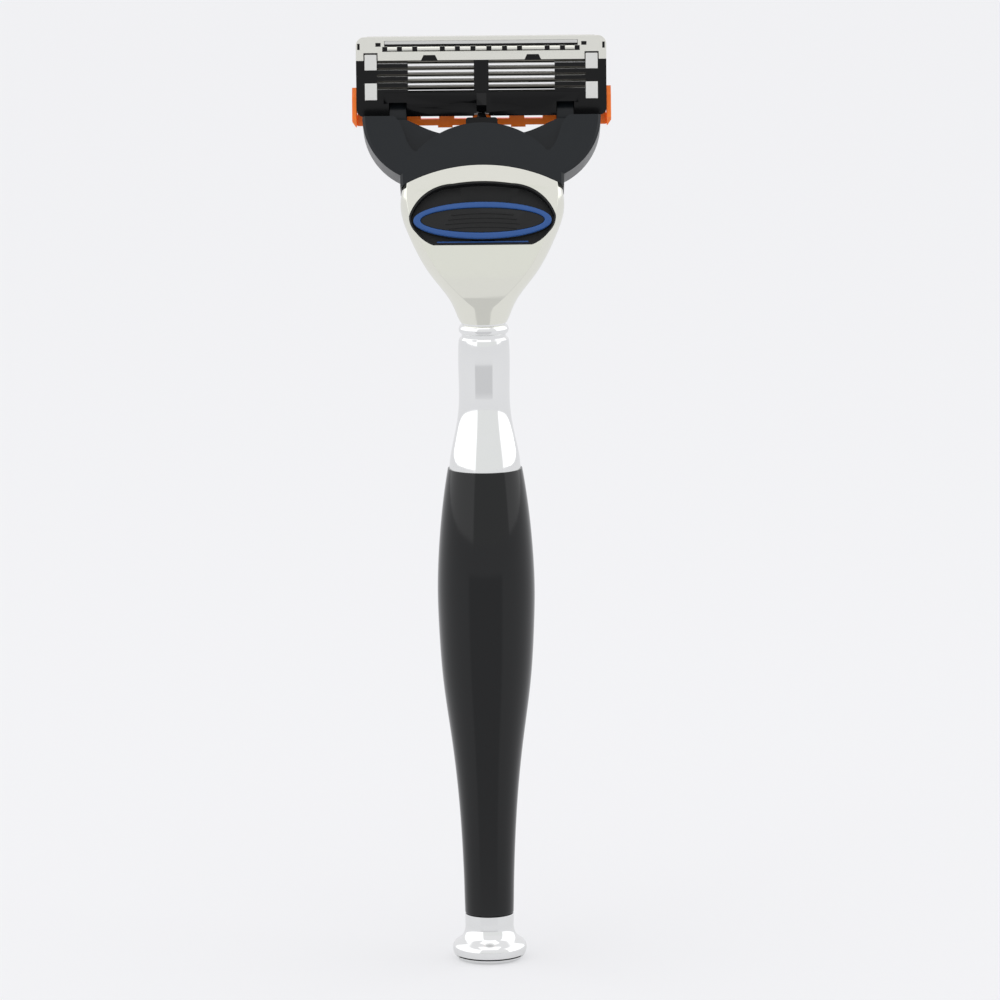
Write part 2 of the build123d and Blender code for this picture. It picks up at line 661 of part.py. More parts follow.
with BuildPart() as yoke:
    with BuildSketch(dock.offset(yoke_front)):
        with BuildLine():
            yoke_sides()
            Line((arm_tip_x, arm_tip_w), web_edge[0])
            Line((-arm_tip_x, arm_tip_w), mirrored(web_edge)[0])
            Spline(*web_edge)
            Spline(*mirrored(web_edge))
            Line((-hub_web_half_width, hub_web_w), (hub_web_half_width, hub_web_w))
        make_face()
    extrude(amount=yoke_web_back - yoke_front)
    with BuildSketch(dock.offset(yoke_web_back)):
        with BuildLine():
            yoke_sides()
            Line((arm_tip_x, arm_tip_w), arm_edge[0])
            Line((-arm_tip_x, arm_tip_w), mirrored(arm_edge)[0])
            Spline(*arm_edge)
            Spline(*mirrored(arm_edge))
            ThreePointArc((-hub_half_width, hub_side_w), (0, hub_peak_w), (hub_half_width, hub_side_w))
        make_face()
    extrude(amount=yoke_back - yoke_web_back)
    rear_edges = yoke.faces().filter_by(back_plane).sort_by(Axis.Y)[0].edges()
    arm_top_z = dock_yz(yoke_back, arm_tip_w)[1]
    outer_edges = [
        edge
        for edge in rear_edges
        if abs(edge.center().X) > yoke_side_x - seat_gap and edge.center().Z < arm_top_z - seat_gap
    ]
    chamfer(outer_edges, yoke_rim_chamfer)
    # the hub stays filled to its crown in front of the web line
    with BuildSketch(dock.offset(hub_front)):
        with BuildLine():
            ThreePointArc((-hub_crown[0], hub_crown[1]), (0, hub_peak_w - 0.15), hub_crown)
            Line(hub_crown, (-hub_crown[0], hub_crown[1]))
        make_face()
    extrude(amount=yoke_web_back - hub_front)
    # the front is rounded like the shell, and the outer arms are thinned
    with BuildSketch(cross_plane(0.0, 0.0)):
        with Locations((0, far - yoke_arm_front)):
            Rectangle(2 * far, 2 * far)
        with Locations((0, front_oval_b)):
            Ellipse(*front_oval, mode=Mode.SUBTRACT)
    extrude(amount=far, both=True, mode=Mode.SUBTRACT)
    # room for the cartridge to swing
    with BuildSketch(Plane.YZ):
        with Locations((pivot_y, pivot_z)):
            Circle(swing_radius)
        with BuildLine():
            near = round_pivot(swing_plane_radius, swing_plane_angle)
            Polyline(
                near,
                (near[0] - far, near[1] + far),
                (near[0] + far, near[1] + 2 * far),
                (pivot_y + swing_radius, pivot_z),
                (pivot_y, pivot_z),
                close=True,
            )
        make_face()
    extrude(amount=far, both=True, mode=Mode.SUBTRACT)
    # dock pocket, plunger opening and nose slot
    with BuildSketch(dock.offset(block_front - fit_gap)):
        with Locations((0, block_top + fit_gap - far)):
            Rectangle(2 * (block_half_width + fit_gap), 2 * far)
    extrude(amount=block_back - block_front + 2 * fit_gap, mode=Mode.SUBTRACT)
    with BuildSketch(dock.offset(-plunger_half_depth - slide_gap)):
        with Locations((0, far)):
            Rectangle(2 * (plunger_half_width + slide_gap), 2 * far)
    extrude(amount=2 * (plunger_half_depth + slide_gap), mode=Mode.SUBTRACT)
    with BuildSketch(Plane.YZ):
        with Locations((pivot_y, pivot_z)):
            Circle(nose_sweep_radius)
    extrude(amount=cam_half_width + cam_side_gap, both=True, mode=Mode.SUBTRACT)
    # bearing tongues
    for side in (1, -1):
        start_x = finger_near_x if side > 0 else -finger_far_x
        with BuildSketch(Plane.YZ.offset(start_x)):
            with BuildLine():
                middle = (tongue_tip_angle + tongue_root_angle) / 2
                ThreePointArc(
                    round_pivot(tongue_inner_radius, tongue_tip_angle),
                    round_pivot(tongue_inner_radius, middle),
                    round_pivot(tongue_inner_radius, tongue_root_angle),
                )
                ThreePointArc(
                    round_pivot(tongue_outer_radius, tongue_tip_angle),
                    round_pivot(tongue_outer_radius, middle - 8),
                    round_pivot(tongue_outer_radius, tongue_shoulder_angle),
                )
                Line(
                    round_pivot(tongue_inner_radius, tongue_tip_angle),
                    round_pivot(tongue_outer_radius, tongue_tip_angle),
                )
                Polyline(
                    round_pivot(tongue_outer_radius, tongue_shoulder_angle),
                    *[round_pivot(radius, angle) for radius, angle in tongue_roots],
                    round_pivot(tongue_inner_radius, tongue_root_angle),
                )
            make_face()
        extrude(amount=finger_far_x - finger_near_x)
save(yoke, "yoke")

# ---- cartridge housing --------------------------------------------------------------
frame_bar_y = back_y + 4.2
frame_plate_y = pivot_y + 0.4
frame_step_z = 142.5
frame_bar_top_z = 139.5
frame_bottom_z = 137.5
housing_corner = 1.2
housing_top_radius = 1.5
rail_half_length = 16.0
# half of the rail's lower edge, from its end to its middle
rail_wave = (
    (rail_half_length, rail_bottom_z + 0.2),
    (11.8, rail_bottom_z),
    (8.2, rail_bottom_z - 0.55),
    (4.0, rail_bottom_z + 0.25),
)
comb_slot_height = 0.4
comb_slot_rise = 0.78
strip_seat_z = 150.5
strip_seat_size = (1.6, 2.3)
clip_sink = 0.35
journal_front = 0.35
journal_floor = 1.65
slot_start_angle = 84.0
slot_end_angle = 250.0
notch_depth = 6.0
notch_width = 4.0
notch_back = 4.0
tip_relief = ((1.4, cam_gap - contact_drop), (-2.2, cam_gap - contact_drop), (-2.2, -4.0), (1.4, -4.0))
cam_steps = 6

with BuildPart() as blade_housing:
    with BuildSketch(Plane.XZ.offset(-front_y)):
        with Locations((0, (housing_bottom_z + housing_top_z) / 2)):
            RectangleRounded(2 * cartridge_half_width, housing_top_z - housing_bottom_z, housing_corner)
    extrude(amount=front_y - back_y)
    top_edges = blade_housing.edges().filter_by(Axis.X).group_by(Axis.Z)[-1]
    fillet(top_edges.sort_by(Axis.Y)[-1], housing_top_radius)
    # raised rail across the lower back, with a gently waved lower edge
    with BuildSketch(Plane.XZ.offset(-back_y)):
        with BuildLine():
            Line((-rail_half_length, rail_top_z), (rail_half_length, rail_top_z))
            Spline(*rail_wave, (0, rail_bottom_z + 0.2), *reversed(mirrored(rail_wave)))
            Line((rail_half_length, rail_top_z), rail_wave[0])
            Line((-rail_half_length, rail_top_z), mirrored(rail_wave)[0])
        make_face()
    extrude(amount=rail_height)
    # step for the guard frame and bay for the blades
    with BuildSketch(Plane.YZ):
        with Locations((front_y, (frame_step_z + housing_bottom_z) / 2 - 1)):
            Rectangle(2 * (front_y - frame_plate_y + fit_gap), frame_step_z - housing_bottom_z + 2)
        with Locations((front_y, housing_bottom_z)):
            Rectangle(
                2 * (front_y - frame_bar_y + fit_gap),
                2 * (frame_bar_top_z - housing_bottom_z + fit_gap),
            )
    extrude(amount=far, both=True, mode=Mode.SUBTRACT)
    with BuildSketch(Plane.XZ.offset(-bay_back_y)):
        with Locations((0, (bay_bottom_z + bay_top_z) / 2)):
            Rectangle(2 * bay_half_width, bay_top_z - bay_bottom_z)
    extrude(amount=-far, mode=Mode.SUBTRACT)
    # rinse windows each side of the middle bridge, with slotted combs at their ends
    window_middle_z = (window_bottom_z + window_top_z) / 2
    comb_middle_x = (comb_near_x + window_half_width) / 2
    with BuildSketch(Plane.XZ.offset(-bay_back_y - 1)):
        opening = comb_near_x - bridge_half_width
        with Locations(
            ((comb_near_x + bridge_half_width) / 2, window_middle_z),
            (-(comb_near_x + bridge_half_width) / 2, window_middle_z),
        ):
            Rectangle(opening, window_top_z - window_bottom_z)
        for row in range(blade_count):
            with Locations(
                (comb_middle_x, blade_first_z + comb_slot_rise + row * blade_pitch),
                (-comb_middle_x, blade_first_z + comb_slot_rise + row * blade_pitch),
            ):
                Rectangle(window_half_width - comb_near_x, comb_slot_height)
    extrude(amount=far, mode=Mode.SUBTRACT)
    # seat of the lubricating strip
    with BuildSketch(Plane.YZ):
        with Locations((front_y, strip_seat_z)):
            Rectangle(*strip_seat_size)
    extrude(amount=strip_half_length + fit_gap, both=True, mode=Mode.SUBTRACT)
    # clip slots through the ends, sunk on the back face
    for side in (1, -1):
        with BuildSketch(Plane.XZ.offset(-front_y)):
            for level in (clip_top_z - clip_thickness / 2, clip_bottom_z + clip_thickness / 2):
                with Locations((side * (clip_near_x + clip_far_x) / 2, level)):
                    Rectangle(
                        clip_far_x - clip_near_x + 2 * fit_gap,
                        clip_thickness + 2 * fit_gap,
                    )
        extrude(amount=far, mode=Mode.SUBTRACT)
        with BuildSketch(Plane.XZ.offset(-front_y + clip_sink)):
            with Locations((side * (clip_near_x + clip_far_x) / 2, (clip_top_z + clip_bottom_z) / 2)):
                Rectangle(
                    clip_far_x - clip_near_x + 2 * fit_gap,
                    clip_top_z - clip_bottom_z + 2 * fit_gap,
                )
        extrude(amount=-far, mode=Mode.SUBTRACT)
    # bearing recesses with their journals
    for side in (1, -1):
        start_x = slot_near_x if side > 0 else -slot_far_x
        with BuildSketch(Plane.YZ.offset(start_x)):
            with BuildLine():
                ThreePointArc(
                    round_pivot(slot_outer_radius, slot_start_angle),
                    round_pivot(slot_outer_radius, (slot_start_angle + slot_end_angle) / 2),
                    round_pivot(slot_outer_radius, slot_end_angle),
                )
                Polyline(
                    round_pivot(slot_outer_radius, slot_end_angle),
                    (pivot_y, pivot_z),
                    round_pivot(slot_outer_radius, slot_start_angle),
                )
            make_face()
            with Locations((pivot_y - notch_back, notch_top_z - notch_depth / 2)):
                Rectangle(notch_width, notch_depth)
        extrude(amount=slot_far_x - slot_near_x, mode=Mode.SUBTRACT)
        with BuildSketch(Plane.YZ.offset(start_x - seat_gap)):
            with Locations((pivot_y, pivot_z)):
                Circle(journal_radius)
            with Locations((pivot_y + journal_front + far, pivot_z)):
                Rectangle(2 * far, 2 * far, mode=Mode.SUBTRACT)
            with Locations((pivot_y, pivot_z - journal_floor - far)):
                Rectangle(2 * far, 2 * far, mode=Mode.SUBTRACT)
        extrude(amount=slot_far_x - slot_near_x + 2 * seat_gap)
    # relief for the plunger tip, then the cam nose that rides on it
    with BuildSketch(Plane.YZ):
        with BuildLine():
            Polyline(*[dock_yz(back, pivot_w + up) for back, up in tip_relief], close=True)
        make_face()
    extrude(amount=cam_half_width + cam_side_gap, both=True, mode=Mode.SUBTRACT)
    with BuildSketch(Plane.YZ):
        cam_points = [cam_yz(radians(pivot_range) * step / cam_steps) for step in range(cam_steps + 1)]
        with BuildLine():
            Spline(*cam_points)
            Polyline(
                cam_points[-1],
                (back_y - 0.25, rail_top_z - 0.1),
                (back_y + 1.2, rail_top_z - 0.1),
                dock_yz(-0.6, pivot_w - contact_drop + cam_gap + 0.5),
                cam_points[0],
            )
        make_face()
    extrude(amount=cam_half_width, both=True)
save(blade_housing, "blade_housing")

# ---- floating blades -------------------------------------------------------------
lean = radians(blade_angle)
bond_start = 0.3
bond_length = 0.6
bevel_length = 0.22
support_back_y = back_y + 3.3
for row in range(blade_count):
    edge_z = blade_first_z + row * blade_pitch
    with BuildPart() as support:
        with BuildSketch(Plane.YZ):
            with BuildLine():
                front = (
                    blade_edge_y - bond_start * sin(lean) - blade_thickness * cos(lean),
                    edge_z + bond_start * cos(lean) - blade_thickness * sin(lean),
                )
                bend = (front[0] - bond_length * sin(lean), front[1] + bond_length * cos(lean))
                Polyline(
                    front,
                    bend,
                    (support_back_y, bend[1]),
                    (support_back_y, bend[1] - support_thickness),
                    (bend[0] - support_thickness, bend[1] - support_thickness),
                    (front[0] - support_thickness * cos(lean), front[1] - support_thickness * sin(lean)),
                    close=True,
                )
            make_face()
        extrude(amount=blade_half_length, both=True)
    save(support, f"blade_support_{row + 1}")
    with BuildPart() as blade:
        with BuildSketch(Plane.YZ):
            with BuildLine():
                Polyline(
                    (blade_edge_y, edge_z),
                    (blade_edge_y - blade_width * sin(lean), edge_z + blade_width * cos(lean)),
                    (
                        blade_edge_y - blade_width * sin(lean) - blade_thickness * cos(lean),
                        edge_z + blade_width * cos(lean) - blade_thickness * sin(lean),
                    ),
                    (
                        blade_edge_y - bevel_length * sin(lean) - blade_thickness * cos(lean),
                        edge_z + bevel_length * cos(lean) - blade_thickness * sin(lean),
                    ),
                    close=True,
                )
            make_face()
        extrude(amount=blade_half_length, both=True)
    save(blade, f"blade_{row + 1}")

# ---- clips, caps and guards ---------------------------------------------------------
for side, label in ((-1, "clip_left"), (1, "clip_right")):
    with BuildPart() as clip:
        start_x = clip_near_x if side > 0 else -clip_far_x
        with BuildSketch(Plane.YZ.offset(start_x)):
            rear_y = back_y - clip_thickness - seat_gap
            face_y = front_y + seat_gap
            with BuildLine():
                Polyline(
                    (rear_y, clip_upper_end_z),
                    (rear_y, clip_top_z),
                    (face_y, clip_top_z),
                    (face_y, clip_bottom_z),
                    (rear_y, clip_bottom_z),
                    (rear_y, clip_lower_end_z),
                    (rear_y + clip_thickness, clip_lower_end_z),
                    (rear_y + clip_thickness, clip_bottom_z + clip_thickness),
                    (face_y - clip_thickness, clip_bottom_z + clip_thickness),
                    (face_y - clip_thickness, clip_top_z - clip_thickness),
                    (rear_y + clip_thickness, clip_top_z - clip_thickness),
                    (rear_y + clip_thickness, clip_upper_end_z),
                    close=True,
                )
            make_face()
        extrude(amount=clip_far_x - clip_near_x)
    save(clip, label)

strip_bottom_z = strip_seat_z - strip_seat_size[1] / 2 + fit_gap
strip_top_z = strip_seat_z + strip_seat_size[1] / 2 - fit_gap
strip_seat_y = front_y - strip_seat_size[0] / 2 + fit_gap
strip_face_y = front_y + 0.2
strip_shoulder_y = front_y - 0.35
with BuildPart() as lubricating_strip:
    with BuildSketch(Plane.YZ):
        with BuildLine():
            Line((strip_seat_y, strip_bottom_z), (strip_seat_y, strip_top_z))
            Line((strip_seat_y, strip_top_z), (strip_shoulder_y, strip_top_z))
            ThreePointArc(
                (strip_shoulder_y, strip_top_z),
                (strip_face_y, strip_top_z - 1.0),
                (strip_face_y, strip_bottom_z),
            )
            Line((strip_face_y, strip_bottom_z), (strip_seat_y, strip_bottom_z))
        make_face()
    extrude(amount=strip_half_length, both=True)
save(lubricating_strip, "lubricating_strip")

plate_back_y = back_y - plate_thickness - seat_gap
plate_corner = 1.4
slit_half_length = 15.8
slit_z = 151.35
slit_height = 0.9
end_slot_x = 20.0
end_slot_z = 150.9
end_slot_size = (0.4, 1.0)
eye_x = 16.8
eye_z = 151.2
eye_size = (0.85, 0.6)
clip_slot_size = (clip_far_x - clip_near_x + 0.3, 1.9)
clip_slot_z = clip_top_z - 0.7
tab_base = (7.1, 9.8)
tab_top = (7.5, 9.4)
tab_height = 0.85
comb_slot_width = 0.82
comb_slot_z = 150.45
comb_slot_depth = 0.8
tooth_bottom_z = 150.05
tooth_middle_z = 150.48
tooth_top_z = 150.9
tooth_bulge = 0.35
tooth_least_width = 0.3
flange_y = back_y + 0.9
flange_z = plate_top_z - 0.18
flange_size = (2.0, 0.3)
flange_half_length = 18.6
with BuildPart() as trimmer_plate:
    with BuildSketch(Plane.XZ.offset(-back_y + seat_gap)):
        with Locations((0, (plate_bottom_z + plate_top_z) / 2)):
            Rectangle(2 * cartridge_half_width, plate_top_z - plate_bottom_z)
        with Locations((0, slit_z)):
            Rectangle(2 * slit_half_length, slit_height, mode=Mode.SUBTRACT)
        for side in (1, -1):
            with Locations((side * end_slot_x, end_slot_z)):
                Rectangle(*end_slot_size, mode=Mode.SUBTRACT)
            with Locations((side * eye_x, eye_z)):
                Rectangle(*eye_size, mode=Mode.SUBTRACT)
            with Locations((side * (clip_near_x + clip_far_x) / 2, clip_slot_z)):
                Rectangle(*clip_slot_size, mode=Mode.SUBTRACT)
            with BuildLine():
                Polyline(
                    (side * tab_base[1], plate_bottom_z),
                    (side * tab_top[1], plate_bottom_z + tab_height),
                    (side * tab_top[0], plate_bottom_z + tab_height),
                    (side * tab_base[0], plate_bottom_z),
                    close=True,
                )
            make_face(mode=Mode.SUBTRACT)
            for centre in comb_slot_centres:
                with Locations((side * centre, comb_slot_z)):
                    Rectangle(comb_slot_width, comb_slot_depth, mode=Mode.SUBTRACT)
    extrude(amount=plate_thickness)
    fillet(trimmer_plate.edges().filter_by(Axis.Y).group_by(Axis.Z)[-1], plate_corner)
    # rolled comb teeth between the slots
    tooth_edges = [-slit_half_length]
    for centre in comb_slot_centres + tuple(-x for x in reversed(comb_slot_centres)):
        tooth_edges += [centre - comb_slot_width / 2, centre + comb_slot_width / 2]
    tooth_edges.append(slit_half_length)
    for start_x, end_x in zip(tooth_edges[::2], tooth_edges[1::2]):
        if end_x - start_x > tooth_least_width:
            with BuildSketch(Plane.YZ.offset(start_x)):
                with BuildLine():
                    ThreePointArc(
                        (plate_back_y, tooth_bottom_z),
                        (plate_back_y - tooth_bulge, tooth_middle_z),
                        (plate_back_y, tooth_top_z),
                    )
                    Line((plate_back_y, tooth_top_z), (plate_back_y, tooth_bottom_z))
                make_face()
            extrude(amount=end_x - start_x)
    # top flange folded over the cap
    with BuildSketch(Plane.YZ):
        with Locations((flange_y, flange_z)):
            Rectangle(*flange_size)
    extrude(amount=flange_half_length, both=True)
save(trimmer_plate, "trimmer_plate")

trimmer_front_y = back_y - 0.04
trimmer_edge_z = 151.25
trimmer_heel_z = 151.45
trimmer_top_z = 151.78
trimmer_half_length = 15.75
with BuildPart() as trimmer_blade:
    with BuildSketch(Plane.YZ):
        with BuildLine():
            Polyline(
                (plate_back_y + 0.1, trimmer_edge_z),
                (trimmer_front_y, trimmer_heel_z),
                (trimmer_front_y, trimmer_top_z),
                (plate_back_y + 0.1, trimmer_top_z),
                close=True,
            )
        make_face()
    extrude(amount=trimmer_half_length, both=True)
save(trimmer_blade, "trimmer_blade")

frame_plate_thickness = 0.5
rib_x = 6.0
rib_size = (2.4, 1.2, 0.7)
rinse_slit_x = 3.0
rinse_slit_far_x = 8.5
rinse_slit_z = 138.8
rinse_slit_size = (3.0, 0.5)
wing_corner = (0.6, 1.0)
# wing outline as seen from the side, from the back lower corner round the top
wing_top = ((back_y + 0.4, 139.0), (back_y + 1.1, 142.6), (back_y + 2.4, 144.0), (front_y - 0.3, 143.4))
wing_toe_y = front_y - 1.2
wing_toe_rise = 0.4
wing_heel_y = back_y + 2.0
wing_bridge = (1.0, 1.1)
journal_room = 6.0
with BuildPart() as guard_frame:
    with BuildSketch(Plane.YZ):
        with Locations(((frame_bar_y + front_y) / 2, (frame_bottom_z + frame_bar_top_z) / 2)):
            Rectangle(front_y - frame_bar_y, frame_bar_top_z - frame_bottom_z)
        plate_middle_z = (frame_bar_top_z + frame_step_z) / 2 - fit_gap
        with Locations((frame_plate_y + frame_plate_thickness / 2, plate_middle_z)):
            Rectangle(frame_plate_thickness, frame_step_z - frame_bar_top_z)
    extrude(amount=cartridge_half_width - fit_gap, both=True)
    # wings that wrap the ends of the housing
    for side in (1, -1):
        start_x = cartridge_half_width + fit_gap if side > 0 else -frame_half_width
        with BuildSketch(Plane.YZ.offset(start_x)):
            with BuildLine():
                Polyline(
                    *wing_top,
                    (front_y, frame_bar_top_z),
                    (front_y, frame_bottom_z + wing_toe_rise),
                    (wing_toe_y, frame_bottom_z),
                    (wing_heel_y, frame_bottom_z),
                    close=True,
                )
            make_face()
        extrude(amount=frame_half_width - cartridge_half_width - fit_gap)
        bridge_height = frame_bar_top_z - frame_bottom_z - 0.3
        bridge_z = frame_bottom_z + fit_gap + bridge_height / 2
        with Locations((side * cartridge_half_width, front_y - 0.6, bridge_z)):
            Box(*wing_bridge, bridge_height)
        with BuildSketch(Plane.XZ.offset(-far)):
            with BuildLine():
                Polyline(
                    (side * (frame_half_width + 1), frame_bottom_z - 1),
                    (side * (frame_half_width - wing_corner[0]), frame_bottom_z - 1),
                    (side * (frame_half_width - wing_corner[0]), frame_bottom_z),
                    (side * frame_half_width, frame_bottom_z + wing_corner[1]),
                    (side * (frame_half_width + 1), frame_bottom_z + wing_corner[1]),
                    close=True,
                )
            make_face()
        extrude(amount=2 * far, mode=Mode.SUBTRACT)
    # stiffening ribs, rinse slits and room round the journals
    for side in (1, -1):
        with Locations((side * rib_x, frame_bar_y + rib_size[1] / 2, frame_bottom_z)):
            Box(*rib_size)
    with BuildSketch(Plane.XZ.offset(-front_y - 2)):
        for side in (1, -1):
            with Locations((side * rinse_slit_x, rinse_slit_z), (side * rinse_slit_far_x, rinse_slit_z)):
                Rectangle(*rinse_slit_size)
    extrude(amount=far, mode=Mode.SUBTRACT)
    for side in (1, -1):
        with Locations((side * (slot_near_x + slot_far_x) / 2, frame_bar_y, frame_bottom_z)):
            Box(
                slot_far_x - slot_near_x + 2 * slide_gap,
                2 * (frame_plate_y - frame_bar_y),
                journal_room,
                mode=Mode.SUBTRACT,
            )
        with Locations((side * (clip_near_x + clip_far_x) / 2, front_y - 1, clip_bottom_z + 1 - fit_gap)):
            Box(clip_far_x - clip_near_x + 2 * fit_gap, 2, 2, mode=Mode.SUBTRACT)
save(guard_frame, "guard_frame")

fin_count = 5
fin_base_y = frame_plate_y + frame_plate_thickness + seat_gap
fin_base_size = (2 * strip_half_length, 0.4, 2.5)
fin_base_z = 141.15
fin_first_z = 140.15
fin_pitch = 0.48
fin_size = (2 * strip_half_length - 0.8, 0.5, 0.2)
with BuildPart() as guard_fins:
    with Locations((0, fin_base_y + fin_base_size[1] / 2, fin_base_z)):
        Box(*fin_base_size)
    for fin in range(fin_count):
        with Locations((0, fin_base_y + fin_base_size[1], fin_first_z + fin_pitch * fin)):
            Box(*fin_size)
save(guard_fins, "guard_fins")
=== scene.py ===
"""Looks, fine surface work and studio for the cartridge razor.

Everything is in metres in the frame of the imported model: +Z up the handle, +X along
the blades, +Y the side the blades face.
"""

from __future__ import annotations

import logging
import math
from dataclasses import dataclass
from enum import Enum

import bmesh
import bpy
from mathutils import Matrix, Vector

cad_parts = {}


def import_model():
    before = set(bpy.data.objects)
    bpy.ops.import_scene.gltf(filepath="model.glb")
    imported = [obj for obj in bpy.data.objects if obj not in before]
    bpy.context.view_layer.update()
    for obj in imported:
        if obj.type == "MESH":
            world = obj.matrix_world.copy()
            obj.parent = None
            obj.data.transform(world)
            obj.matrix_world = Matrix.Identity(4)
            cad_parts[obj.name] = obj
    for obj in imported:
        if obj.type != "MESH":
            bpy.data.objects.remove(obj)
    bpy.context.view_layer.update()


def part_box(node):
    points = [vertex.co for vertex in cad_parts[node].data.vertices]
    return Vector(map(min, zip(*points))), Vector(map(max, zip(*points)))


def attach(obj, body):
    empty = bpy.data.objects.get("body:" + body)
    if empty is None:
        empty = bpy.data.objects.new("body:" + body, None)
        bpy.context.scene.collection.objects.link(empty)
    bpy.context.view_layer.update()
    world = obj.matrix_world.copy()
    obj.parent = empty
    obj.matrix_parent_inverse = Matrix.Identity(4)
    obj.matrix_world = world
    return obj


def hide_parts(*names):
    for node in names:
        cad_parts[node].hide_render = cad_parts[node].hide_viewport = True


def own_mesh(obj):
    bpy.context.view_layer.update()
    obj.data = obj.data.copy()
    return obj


LOG = logging.getLogger("razor")
MM = 0.001


class Grain(Enum):
    """How the fine surface detail of a finish runs."""

    EVEN = (1.0, 1.0, 1.0)
    ALONG_X = (0.02, 1.0, 1.0)
    ROUND_Z = (0.25, 0.25, 1.0)
    ALONG_Z = (1.0, 1.0, 0.03)


@dataclass(frozen=True)
class Finish:
    """One surface finish.

    Attributes:
        name: Name of the material.
        colour: Base colour, linear RGB.
        metallic: Metallic value.
        roughness: Middle roughness.
        spread: How far the roughness wanders either way.
        scale: Size of the fine detail, in features per metre.
        depth: Height of the fine detail, in metres.
        tint: How far the colour wanders.
        grain: Direction of the detail.
        glow: Emission strength, in the base colour; on a part that is no lamp this is painted light.
        specular: Specular level of the plastic.
    """

    name: str
    colour: tuple[float, float, float]
    metallic: float = 0.0
    roughness: float = 0.4
    spread: float = 0.05
    scale: float = 2500.0
    depth: float = 0.00001
    tint: float = 0.04
    grain: Grain = Grain.EVEN
    glow: float = 0.0
    specular: float = 0.5


CHROME = Finish("polished_chrome", (0.90, 0.905, 0.90), 1.0, 0.06, 0.02, 900.0, 0.0000004, 0.012)
WARM_NICKEL = Finish(
    "polished_nickel", (0.87, 0.868, 0.785), 1.0, 0.12, 0.03, 1300.0, 0.0000006, 0.015
)
LACQUER = Finish(
    "black_lacquer", (0.003, 0.0035, 0.004), 0.0, 0.07, 0.02, 500.0, 0.0000005, 0.1, specular=0.42
)
GLOSS_BLACK = Finish(
    "gloss_black_plastic", (0.003, 0.0031, 0.0034), 0.0, 0.16, 0.05, 1600.0, 0.000002, 0.12, specular=0.24
)
YOKE_GREY = Finish(
    "moulded_grey_plastic", (0.009, 0.0115, 0.014), 0.0, 0.30, 0.05, 6000.0, 0.000003, 0.1, specular=0.32
)
SOFT_BLACK = Finish(
    "soft_black_rubber", (0.009, 0.0093, 0.0094), 0.0, 0.46, 0.05, 5000.0, 0.000005, 0.1, specular=0.32
)
SOFT_BLUE = Finish(
    "soft_blue_rubber", (0.016, 0.085, 0.30), 0.0, 0.40, 0.05, 4500.0, 0.000003, 0.06
)
# Painted light: the orange plastic also glows faintly in its own colour so that it looks brighter.
GLOWING_ORANGE = Finish(
    "orange_plastic_painted_glow", (1.0, 0.20, 0.008), 0.0, 0.33, 0.05, 3000.0, 0.000002, 0.05, glow=0.12
)
BLADE_STEEL = Finish(
    "blade_steel", (0.86, 0.85, 0.82), 1.0, 0.16, 0.05, 4000.0, 0.0000008, 0.03, grain=Grain.ALONG_X
)
SHEET_STEEL = Finish(
    "sheet_steel", (0.86, 0.855, 0.79), 1.0, 0.24, 0.05, 3500.0, 0.000001, 0.03, grain=Grain.ALONG_X
)
# Painted shade: the supports' steel is darkened far below the other steel so the gaps between the blades
# look shadowed.
SHADED_SUPPORT_STEEL = Finish(
    "support_steel_painted_shade", (0.19, 0.18, 0.155), 1.0, 0.28, 0.05, 3500.0, 0.000001, 0.05, grain=Grain.ALONG_X
)
CLIP_ALLOY = Finish(
    "clip_alloy", (0.86, 0.86, 0.83), 1.0, 0.24, 0.05, 4000.0, 0.000001, 0.03, grain=Grain.ALONG_Z
)
FIN_RUBBER = Finish("fin_rubber", (0.10, 0.115, 0.13), 0.0, 0.55, 0.06, 5000.0, 0.000004, 0.08)
STRIP_GREEN = Finish("gel_strip", (0.52, 0.72, 0.5), 0.0, 0.36, 0.1, 2200.0, 0.00001, 0.14)
INNER_GREY = Finish("inner_plastic", (0.12, 0.125, 0.13), 0.0, 0.5, 0.06, 4000.0, 0.000003, 0.08)
CAST_ZINC = Finish("cast_zinc", (0.42, 0.42, 0.43), 1.0, 0.5, 0.08, 2500.0, 0.000008, 0.08)
TURNED_STEEL = Finish(
    "turned_steel", (0.62, 0.62, 0.62), 1.0, 0.3, 0.06, 3000.0, 0.0000015, 0.04, grain=Grain.ROUND_Z
)
PAD_RUBBER = Finish("pad_rubber", (0.012, 0.012, 0.012), 0.0, 0.7, 0.08, 3500.0, 0.000008, 0.1)
FLOOR_WHITE = Finish(
    "studio_floor", (0.50, 0.50, 0.508), 0.0, 0.9, 0.02, 12.0, 0.0, 0.0, glow=1.0, specular=0.0
)


